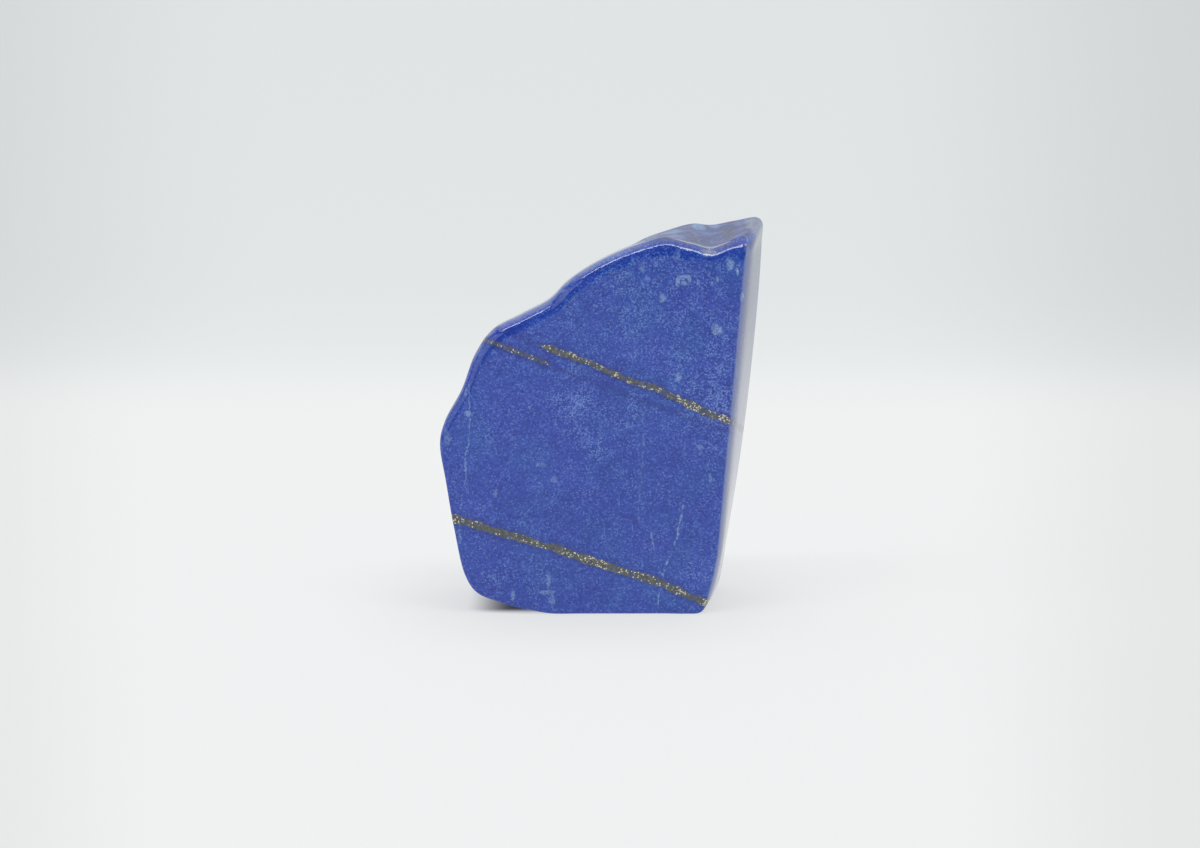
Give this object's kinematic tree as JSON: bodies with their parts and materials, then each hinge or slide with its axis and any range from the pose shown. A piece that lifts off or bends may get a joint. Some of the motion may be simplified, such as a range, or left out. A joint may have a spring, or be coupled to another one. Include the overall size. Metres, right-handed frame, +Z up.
{
  "type": "polished lapis lazuli stone",
  "caption": "Freeform slab of polished lapis lazuli that stands on a flat cut base, with a smooth front face, a rounded wandering top and pyrite veins.",
  "frame": {"origin": "on the floor, under the middle of the stone's bounding box", "axes": "+X to the right along the front face, +Y away from the front face towards the back, +Z up"},
  "size_m": [0.0884, 0.035, 0.1061],
  "materials": {
    "lapis": "polished"
  },
  "bodies": {
    "root": {"polished_lapis_stone": "lapis"}
  },
  "joints": []
}
